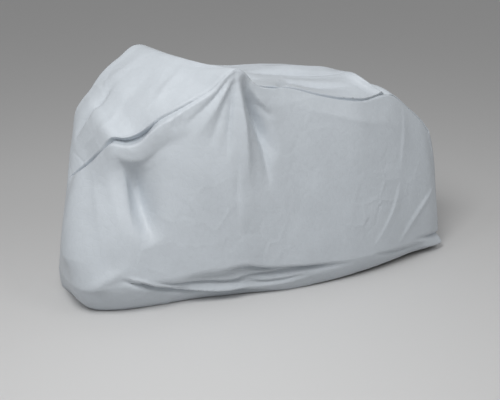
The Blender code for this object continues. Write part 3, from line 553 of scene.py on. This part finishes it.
def detailed_gusset(folded, near_shift, far_shift, seed):
    """The folded gusset with its rolled seams and small creases."""
    from_near = ACROSS[None, :] * GUSSET_WIDTH
    from_far = (1 - ACROSS)[None, :] * GUSSET_WIDTH
    normals = surface_normals(folded, -1)
    rolled = folded.copy()
    for shift, away in ((near_shift, from_near), (far_shift, from_far)):
        depth = np.linalg.norm(shift, axis=-1)[:, None]
        lip = LIP_SHARE * depth * np.exp(-((away - LIP_PLACE) / ROLL_REACH) ** 2)
        lip = lip * np.clip(away / LIP_CLEAR, 0, 1)
        back = np.exp(-(away / ROLL_REACH) ** 2)
        rolled += shift[:, None] * back[..., None] + lip[..., None] * normals
    small = crumples(folded, seed, 1.2)
    way = np.linalg.norm(np.diff(folded[:, 0], axis=0), axis=1)
    way = np.concatenate([[0.0], np.cumsum(way)])[:, None]
    small += gathers(way, from_near, seed, SEAM_PITCH, SEAM_PUCKER, SEAM_REACH)
    small += gathers(way, from_far, seed + 1, SEAM_PITCH, SEAM_PUCKER, SEAM_REACH)
    small *= np.clip(np.minimum(from_near, from_far) / CREASE_CLEAR, 0, 1)
    return rolled + small[..., None] * surface_normals(rolled, -1)


# ---------------------------------------------------------------------------
# Sheets
# ---------------------------------------------------------------------------

CLOTH = 0.0012            # thickness of the cloth
HEM_CLOTH = 0.0022        # the same cloth, turned up and stitched


def seam_lean(panel_normals, gusset_normals):
    """Direction and stretch of the mitre at a seam, from the normals of both pieces."""
    lean = unit(panel_normals + gusset_normals)
    facing = np.sum(lean * panel_normals, axis=-1, keepdims=True)
    return lean / np.maximum(facing, MITRE_LIMIT)


def hem_thickness(rises):
    """Thickness of the cloth at each rise: doubled in the hem."""
    return np.where(rises <= HEM_RISE, HEM_CLOTH, CLOTH)


def panel_layers(outer, side, lean):
    """Outer and inner face of a side panel, drawn back from the seam by half the gap."""
    drop = surface_normals(outer, side)
    rows, columns = outer.shape[:2]
    edge = [(row, 0) for row in range(rows)]
    edge += [(rows - 1, column) for column in range(1, columns)]
    edge += [(row, columns - 1) for row in range(rows - 2, -1, -1)]
    back = np.zeros_like(outer)
    for cell, direction in zip(edge, lean):
        drop[cell] = direction
        row, column = cell
        towards = (min(row, rows - 2), min(max(column, 1), columns - 2))
        back[cell] = unit(outer[towards] - outer[cell]) * SEAM_GAP / 2
    thick = hem_thickness(RISES)[:, None, None]
    return outer + back, outer + back - drop * thick


def gusset_layers(outer, near_lean, far_lean):
    """Outer and inner face of the gusset, drawn back from both seams by half the gap."""
    drop = surface_normals(outer, -1)
    drop[:, 0] = near_lean
    drop[:, -1] = far_lean
    back = np.zeros_like(outer)
    back[:, 0] = unit(outer[:, 1] - outer[:, 0]) * SEAM_GAP / 2
    back[:, -1] = unit(outer[:, -2] - outer[:, -1]) * SEAM_GAP / 2
    end = hem_thickness(RISES)
    top = np.full(len(outer) - 2 * len(end), CLOTH)
    thick = np.concatenate([end, top, end[::-1]])[:, None, None]
    return outer + back, outer + back - drop * thick


def rim(rows, columns):
    """The cells round the edge of a grid, in order."""
    bottom = [(0, column) for column in range(columns)]
    right = [(row, columns - 1) for row in range(1, rows)]
    top = [(rows - 1, column) for column in range(columns - 2, -1, -1)]
    left = [(row, 0) for row in range(rows - 2, 0, -1)]
    return bottom + right + top + left


def make_mesh(name, points, faces, materials):
    """An object made of these points and faces, with its materials."""
    mesh = bpy.data.meshes.new(name)
    mesh.from_pydata([tuple(point) for point in points], [], faces)
    for slot in materials:
        mesh.materials.append(slot)
    mesh.shade_smooth()
    made = bpy.data.objects.new(name, mesh)
    bpy.context.scene.collection.objects.link(made)
    return made


def make_sheet(name, outer, inner, side, materials, across, along):
    """One closed sheet between an outer and an inner grid of points, with cloth coordinates."""
    rows, columns = outer.shape[:2]
    points = np.concatenate([outer.reshape(-1, 3), inner.reshape(-1, 3)]) - SADDLE_POINT
    layer = rows * columns
    row, column = np.meshgrid(np.arange(rows - 1), np.arange(columns - 1), indexing="ij")
    corner = (row * columns + column).ravel()
    cells = np.stack([corner, corner + 1, corner + 1 + columns, corner + columns], axis=1)
    outside = cells if side > 0 else cells[:, ::-1]
    inside = outside[:, ::-1] + layer
    edge = [r * columns + c for r, c in rim(rows, columns)]
    sides = []
    for here, there in zip(edge, edge[1:] + edge[:1]):
        quad = (there, here, here + layer, there + layer)
        sides.append(quad if side > 0 else quad[::-1])
    faces = [tuple(face) for face in outside.tolist()]
    faces += [tuple(face) for face in inside.tolist()]
    faces += sides
    sheet = make_mesh(name, points, faces, materials)
    mesh = sheet.data
    slots = np.zeros(len(faces), dtype=np.int32)
    slots[len(outside):2 * len(outside)] = 1
    mesh.polygons.foreach_set("material_index", slots)
    cloth = np.stack(np.broadcast_arrays(across, along), axis=-1).reshape(-1, 2)
    cloth = np.concatenate([cloth, cloth])
    corners = np.empty(len(mesh.loops), dtype=np.int32)
    mesh.loops.foreach_get("vertex_index", corners)
    layer_uv = mesh.uv_layers.new(name="cloth")
    layer_uv.data.foreach_set("uv", cloth[corners].astype(np.float32).ravel())
    return sheet


# ---------------------------------------------------------------------------
# Stitching
# ---------------------------------------------------------------------------

STITCH_PITCH = 0.0042
STITCH_LENGTH = 0.0030
STITCH_WIDTH = 0.0008
STITCH_HEIGHT = 0.0005
STITCH_TAPER = 0.6              # size of a stitch's top, as a share of its foot
STITCH_SUNK = 0.5               # how far it lies in the cloth, as a share of its height
HEM_ROWS = (0.004, 0.0185)      # the two rows of stitching, above the hem's edge

STITCH_FACES = ((0, 1, 5, 4), (1, 2, 6, 5), (2, 3, 7, 6), (3, 0, 4, 7), (4, 5, 6, 7), (3, 2, 1, 0))


def stitch_row(line, normals):
    """Points and faces of the stitches along a line of points on the cloth."""
    steps = np.linalg.norm(np.diff(line, axis=0), axis=1)
    way = np.concatenate([[0.0], np.cumsum(steps)])
    starts = np.arange(STITCH_PITCH, way[-1] - STITCH_PITCH, STITCH_PITCH)

    def read(at, values):
        return np.stack([np.interp(at, way, values[:, axis]) for axis in range(3)], axis=-1)

    centre = read(starts, line)
    along = unit(read(starts + 0.001, line) - read(starts - 0.001, line))
    up = unit(read(starts, normals))
    across = unit(np.cross(up, along))
    long = along * STITCH_LENGTH / 2
    wide = across * STITCH_WIDTH / 2
    tall = up * STITCH_HEIGHT
    foot = centre - up * STITCH_HEIGHT * STITCH_SUNK
    base = [foot - long - wide, foot + long - wide, foot + long + wide, foot - long + wide]
    crown = [centre + tall + STITCH_TAPER * corner for corner in
             (-long - wide, long - wide, long + wide, -long + wide)]
    points = np.stack(base + crown, axis=1).reshape(-1, 3)
    faces = []
    for index in range(len(starts)):
        faces += [tuple(8 * index + corner for corner in face) for face in STITCH_FACES]
    return points, faces


def hem_stitches(name, rows_of_lines, thread):
    """One object with the stitches along each of the lines."""
    points = []
    faces = []
    for line, normals in rows_of_lines:
        more_points, more_faces = stitch_row(line, normals)
        start = sum(len(group) for group in points)
        points.append(more_points)
        faces += [tuple(start + corner for corner in face) for face in more_faces]
    return make_mesh(name, np.concatenate(points) - SADDLE_POINT, faces, [thread])


def hem_lines(grid, normals):
    """Lines of points on the cloth at the height of each hem row, with the normals there."""
    lines = []
    for height in HEM_ROWS:
        row = int(np.searchsorted(HEIGHTS, height))
        share = (height - HEIGHTS[row - 1]) / (HEIGHTS[row] - HEIGHTS[row - 1])
        lines.append((grid[row - 1] * (1 - share) + grid[row] * share, normals[row]))
    return lines


# ---------------------------------------------------------------------------
# Hook tape
# ---------------------------------------------------------------------------

TAPE_RUN = 1.06                   # where the tape starts along the near hem
TAPE_LENGTH = 0.100
TAPE_EDGES = (0.0025, 0.0245)     # above the hem's edge, along the cloth
TAPE_GAP = 0.0006                 # between the tape and the hem
TAPE_WEB = 0.0008                 # thickness of the woven strip
TAPE_SELVAGE = 0.0025             # the strip's border without hooks
TAPE_CELLS = (60, 14)             # along the strip and across it
HOOK_PITCH = 0.0018
HOOK_HEIGHT = 0.0011
HOOK_WIDTH = 0.0005
HOOK_ROOT = 0.9                   # depth of a hook's root in the strip, as a share of it

# A hook is a square stem that bends over at its tip: shift along the tape and lift of each ring,
# as shares of its height.
HOOK_RINGS = ((0.0, 0.0), (0.0, 0.55), (0.35, 0.95), (0.85, 0.80))


def hook_tape(inner, normals, web_material, hook_material):
    """The tape's web as a thin closed sheet on the hem's inner face, with rows of hooks."""

    def read(run, height, values):
        row = np.interp(height, HEIGHTS, np.arange(len(HEIGHTS)))
        column = np.interp(run, RUNS, np.arange(len(RUNS)))
        r = np.minimum(row.astype(int), len(HEIGHTS) - 2)
        c = np.minimum(column.astype(int), len(RUNS) - 2)
        v = (row - r)[..., None]
        u = (column - c)[..., None]
        low = values[r, c] * (1 - u) + values[r, c + 1] * u
        high = values[r + 1, c] * (1 - u) + values[r + 1, c + 1] * u
        return low * (1 - v) + high * v

    run, height = np.meshgrid(
        np.linspace(TAPE_RUN, TAPE_RUN + TAPE_LENGTH, TAPE_CELLS[0] + 1),
        np.linspace(*TAPE_EDGES, TAPE_CELLS[1] + 1))
    face = read(run, height, inner)
    inward = -unit(read(run, height, normals))
    against = face + inward * TAPE_GAP
    away = face + inward * (TAPE_GAP + TAPE_WEB)
    web = make_sheet("hook_tape_web", against, away, 1, [web_material, web_material], run, height)

    run, height = np.meshgrid(
        np.arange(TAPE_RUN + TAPE_SELVAGE, TAPE_RUN + TAPE_LENGTH - TAPE_SELVAGE, HOOK_PITCH),
        np.arange(TAPE_EDGES[0] + TAPE_SELVAGE, TAPE_EDGES[1] - TAPE_SELVAGE, HOOK_PITCH))
    run = run + (np.arange(run.shape[0]) % 2)[:, None] * HOOK_PITCH / 2
    run = run.ravel()
    height = height.ravel()
    inward = -unit(read(run, height, normals))
    root = read(run, height, inner) + inward * (TAPE_GAP + TAPE_WEB * HOOK_ROOT)
    along = unit(read(run + 0.002, height, inner) - root)
    along = unit(along - inward * np.sum(along * inward, axis=-1, keepdims=True))
    across = np.cross(inward, along)
    half = HOOK_WIDTH / 2
    rings = []
    for shift, lift in HOOK_RINGS:
        middle = root + along * shift * HOOK_HEIGHT + inward * lift * HOOK_HEIGHT
        rings += [middle - along * half - across * half, middle + along * half - across * half,
                  middle + along * half + across * half, middle - along * half + across * half]
    points = np.stack(rings, axis=1).reshape(-1, 3)
    faces = []
    count = 4 * len(HOOK_RINGS)
    for index in range(len(run)):
        start = index * count
        for ring in range(len(HOOK_RINGS) - 1):
            for corner in range(4):
                a = start + ring * 4 + corner
                b = start + ring * 4 + (corner + 1) % 4
                faces.append((a, b, b + 4, a + 4))
        faces.append((start + 3, start + 2, start + 1, start))
        faces.append(tuple(start + count - 4 + corner for corner in range(4)))
    hooks = make_mesh("hook_tape_hooks", points - SADDLE_POINT, faces, [hook_material])
    return web, hooks


# ---------------------------------------------------------------------------
# Materials
# ---------------------------------------------------------------------------


class Nodes:
    """Short calls for building a material's nodes."""

    def __init__(self, name):
        self.material = bpy.data.materials.new(name)
        self.material.use_nodes = True
        self.tree = self.material.node_tree
        self.shader = self.tree.nodes["Principled BSDF"]

    def add(self, kind, **inputs):
        node = self.tree.nodes.new(kind)
        for key, value in inputs.items():
            self.feed(node, key.replace("_", " "), value)
        return node

    def feed(self, node, key, value):
        socket = node.inputs[key]
        if isinstance(value, bpy.types.NodeSocket):
            self.tree.links.new(value, socket)
        else:
            socket.default_value = value

    def math(self, operation, first, second):
        node = self.tree.nodes.new("ShaderNodeMath")
        node.operation = operation
        self.feed(node, 0, first)
        self.feed(node, 1, second)
        return node.outputs[0]

    def ramp(self, fac, stops):
        node = self.tree.nodes.new("ShaderNodeValToRGB")
        self.feed(node, "Fac", fac)
        elements = node.color_ramp.elements
        while len(elements) < len(stops):
            elements.new(0.5)
        for element, (place, colour) in zip(elements, stops):
            element.position = place
            element.color = colour
        return node.outputs["Color"]

    def bump(self, height, distance, strength, below=None):
        node = self.tree.nodes.new("ShaderNodeBump")
        self.feed(node, "Height", height)
        self.feed(node, "Distance", distance)
        self.feed(node, "Strength", strength)
        if below is not None:
            self.feed(node, "Normal", below)
        return node.outputs["Normal"]


def grey(value, tint=0.0):
    """A grey with a slight blue tint."""
    return (value * (1 - tint), value, value * (1 + tint), 1.0)


WEAVE_PER_METRE = 900


def cloth_material(name, light, dark, roughness, sheen, crease_depth):
    """Coated cloth: fine plain weave, faint cloudy tone and small packing creases."""
    nodes = Nodes(name)
    place = nodes.add("ShaderNodeTexCoord")
    uv = place.outputs["UV"]
    solid = place.outputs["Object"]
    cloud = nodes.add("ShaderNodeTexNoise", Vector=solid, Scale=5.0, Detail=5.0, Roughness=0.6)
    fleck = nodes.add("ShaderNodeTexNoise", Vector=solid, Scale=55.0, Detail=3.0, Roughness=0.6)
    tone = nodes.math("ADD", nodes.math("MULTIPLY", cloud.outputs["Fac"], 0.75),
                      nodes.math("MULTIPLY", fleck.outputs["Fac"], 0.25))
    colour = nodes.ramp(tone, ((0.30, dark), (0.70, light)))
    nodes.feed(nodes.shader, "Base Color", colour)
    gloss = nodes.add("ShaderNodeMapRange", Value=cloud.outputs["Fac"])
    nodes.feed(gloss, "To Min", roughness - 0.05)
    nodes.feed(gloss, "To Max", roughness + 0.05)
    nodes.feed(nodes.shader, "Roughness", gloss.outputs["Result"])
    nodes.shader.inputs["Sheen Weight"].default_value = sheen
    nodes.shader.inputs["Sheen Roughness"].default_value = 0.45
    nodes.shader.inputs["Specular IOR Level"].default_value = 0.50

    warp = nodes.add("ShaderNodeTexWave", Vector=uv, Scale=WEAVE_PER_METRE / 20)
    warp.bands_direction = "X"
    weft = nodes.add("ShaderNodeTexWave", Vector=uv, Scale=WEAVE_PER_METRE / 20)
    weft.bands_direction = "Y"
    weave = nodes.math("MULTIPLY", warp.outputs["Fac"], weft.outputs["Fac"])
    crease = nodes.add("ShaderNodeTexVoronoi", Vector=solid, Scale=26.0)
    crease.feature = "DISTANCE_TO_EDGE"
    line = nodes.add("ShaderNodeMapRange", Value=crease.outputs["Distance"])
    nodes.feed(line, "From Max", 0.10)
    wrinkle = nodes.add("ShaderNodeTexNoise", Vector=solid, Scale=38.0, Detail=4.0, Roughness=0.55)
    pressed = nodes.math("ADD", nodes.math("MULTIPLY", line.outputs["Result"], 0.35),
                         wrinkle.outputs["Fac"])
    normal = nodes.bump(pressed, crease_depth, 0.55)
    normal = nodes.bump(weave, 0.00010, 0.35, normal)
    nodes.feed(nodes.shader, "Normal", normal)
    return nodes.material


def tape_material():
    """Black woven strip that carries the hooks."""
    nodes = Nodes("black_tape_web")
    place = nodes.add("ShaderNodeTexCoord")
    thread = nodes.add("ShaderNodeTexWave", Vector=place.outputs["UV"], Scale=60.0)
    nodes.feed(nodes.shader, "Base Color", nodes.ramp(
        thread.outputs["Fac"], ((0.2, grey(0.012)), (0.8, grey(0.022)))))
    nodes.shader.inputs["Roughness"].default_value = 0.9
    nodes.feed(nodes.shader, "Normal", nodes.bump(thread.outputs["Fac"], 0.0002, 0.6))
    return nodes.material


def plain_material(name, colour, roughness, variation):
    """One colour, slightly uneven."""
    nodes = Nodes(name)
    place = nodes.add("ShaderNodeTexCoord")
    cloud = nodes.add("ShaderNodeTexNoise", Vector=place.outputs["Object"], Scale=60.0)
    low = tuple(channel * (1 - variation) for channel in colour[:3]) + (1.0,)
    high = tuple(channel * (1 + variation) for channel in colour[:3]) + (1.0,)
    nodes.feed(nodes.shader, "Base Color", nodes.ramp(
        cloud.outputs["Fac"], ((0.3, low), (0.7, high))))
    nodes.shader.inputs["Roughness"].default_value = roughness
    return nodes.material


# ---------------------------------------------------------------------------
# Camera, light and floor
# ---------------------------------------------------------------------------

CAMERA_PLACE = np.array((-0.16, -3.07, 1.80))
CAMERA_YAW = math.radians(18.8)      # turned to the right
CAMERA_PITCH = math.radians(23.7)    # turned down
FRAME_WIDTH = 500                    # of the photograph, in pixels
FOCAL_PIXELS = 737.1                 # focal length, in the same pixels
SENSOR = 36.0                        # millimetres

SOFTBOXES = (
    # name, place and aim over the ground, size, power
    ("key", (-0.25, -1.70, 3.05), (1.00, 0.0, 0.55), 1.2, 62.0),
    ("left", (-3.60, -1.40, 5.40), (0.90, 0.0, 0.60), 1.6, 30.0),
    ("right", (2.60, -2.40, 3.20), (1.60, 0.0, 0.70), 1.4, 16.0),
)
WORLD_LIGHT = 0.34
FLOOR_HALF = 20.0
FLOOR_DROP = 0.002                   # how far the floor lies below the hem
FLOOR_GREY = 0.62


def make_camera():
    """The camera that took the photograph, as a fit to it gives it."""
    camera = bpy.data.cameras.new("camera")
    camera.sensor_width = SENSOR
    camera.lens = FOCAL_PIXELS / FRAME_WIDTH * SENSOR
    holder = bpy.data.objects.new("camera", camera)
    holder.location = Vector(CAMERA_PLACE - SADDLE_POINT)
    holder.rotation_euler = (math.pi / 2 - CAMERA_PITCH, 0.0, -CAMERA_YAW)
    bpy.context.scene.collection.objects.link(holder)
    bpy.context.scene.camera = holder


def make_softbox(name, place, aim, size, power):
    """A square softbox at a place over the ground, turned to the point that it lights."""
    light = bpy.data.lights.new(name, "AREA")
    light.shape = "SQUARE"
    light.size = size
    light.energy = power
    holder = bpy.data.objects.new(name, light)
    holder.location = Vector(place) - Vector(SADDLE_POINT)
    towards = Vector(place) - Vector(aim)
    holder.rotation_euler = towards.to_track_quat("Z", "Y").to_euler()
    bpy.context.scene.collection.objects.link(holder)


def make_world(brightness):
    """Even white light from all round."""
    world = bpy.data.worlds.new("studio")
    world.use_nodes = True
    background = world.node_tree.nodes["Background"]
    background.inputs["Color"].default_value = (1.0, 1.0, 1.0, 1.0)
    background.inputs["Strength"].default_value = brightness
    bpy.context.scene.world = world


def make_floor():
    """The plain floor under the cover."""
    corners = ((-1, -1), (1, -1), (1, 1), (-1, 1))
    points = np.array([(x * FLOOR_HALF, y * FLOOR_HALF, -FLOOR_DROP) for x, y in corners])
    points = points - SADDLE_POINT
    nodes = Nodes("floor_paint")
    nodes.shader.inputs["Base Color"].default_value = grey(FLOOR_GREY)
    nodes.shader.inputs["Roughness"].default_value = 0.9
    floor = make_mesh("floor", points, [(0, 1, 2, 3)], [nodes.material])


# ---------------------------------------------------------------------------
# The cover
# ---------------------------------------------------------------------------

bpy.context.scene.view_settings.view_transform = "Standard"
make_camera()
for softbox in SOFTBOXES:
    make_softbox(*softbox)
make_world(WORLD_LIGHT)
make_floor()

outer_cloth = cloth_material("silver_cloth_outside", light=grey(0.60, 0.07), dark=grey(0.53, 0.07),
                             roughness=0.52, sheen=0.10, crease_depth=0.0012)
# The inside is the same cloth in a far darker grey: painted shade standing for the shade inside the
# cover.
painted_shade_inner_cloth = cloth_material("silver_cloth_inside_painted_shade", light=grey(0.19, 0.01), dark=grey(0.16, 0.01),
                             roughness=0.78, sheen=0.05, crease_depth=0.0010)
thread = plain_material("grey_thread", grey(0.42, 0.03), 0.7, 0.1)
cloth_faces = [outer_cloth, painted_shade_inner_cloth]

near_folded = folded_panel(NEAR_STATIONS, NEAR_TUCK, NEAR_FOLDS, 1)
far_folded = folded_panel(FAR_STATIONS, FAR_TUCK, FAR_FOLDS, -1)
near, near_shift = detailed_panel(near_folded, NEAR_SEAM, 1, seed=3)
far, far_shift = detailed_panel(far_folded, FAR_SEAM, -1, seed=11)
gusset = folded_gusset(seam_edge(near_folded), seam_edge(far_folded))
gusset = detailed_gusset(gusset, near_shift, far_shift, seed=23)

near_normals = surface_normals(near, 1)
far_normals = surface_normals(far, -1)
gusset_normals = surface_normals(gusset, -1)
near_lean = seam_lean(seam_edge(near_normals), gusset_normals[:, 0])
far_lean = seam_lean(seam_edge(far_normals), gusset_normals[:, -1])

run_grid, height_grid = np.meshgrid(RUNS, HEIGHTS)
near_outer, near_inner = panel_layers(near, 1, near_lean)
near_cloth = make_sheet("near_cloth", near_outer, near_inner, 1, cloth_faces, run_grid, height_grid)
far_outer, far_inner = panel_layers(far, -1, far_lean)
far_cloth = make_sheet("far_cloth", far_outer, far_inner, -1, cloth_faces, run_grid, height_grid)
share_grid, place_grid = np.meshgrid(ACROSS * GUSSET_WIDTH, PLACES)
gusset_outer, gusset_inner = gusset_layers(gusset, near_lean, far_lean)
gusset_cloth = make_sheet("gusset_cloth", gusset_outer, gusset_inner, -1, cloth_faces,
                          share_grid, place_grid)

near_stitches = hem_stitches("near_hem_stitches", hem_lines(near, near_normals), thread)
far_stitches = hem_stitches("far_hem_stitches", hem_lines(far, far_normals), thread)
front_end = hem_lines(gusset, gusset_normals)
rear_end = hem_lines(gusset[::-1], gusset_normals[::-1])
gusset_stitches = hem_stitches("gusset_hem_stitches", front_end + rear_end, thread)

tape_web, tape_hooks = hook_tape(near_inner, near_normals, tape_material(),
                                 plain_material("black_hooks", grey(0.016), 0.6, 0.2))

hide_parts("near_side_panel")
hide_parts("far_side_panel")
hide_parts("top_gusset")
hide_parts("hook_tape")
for piece in (near_cloth, far_cloth, gusset_cloth, near_stitches, far_stitches, gusset_stitches):
    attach(piece, "root")
for piece in (tape_web, tape_hooks):
    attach(piece, "root")
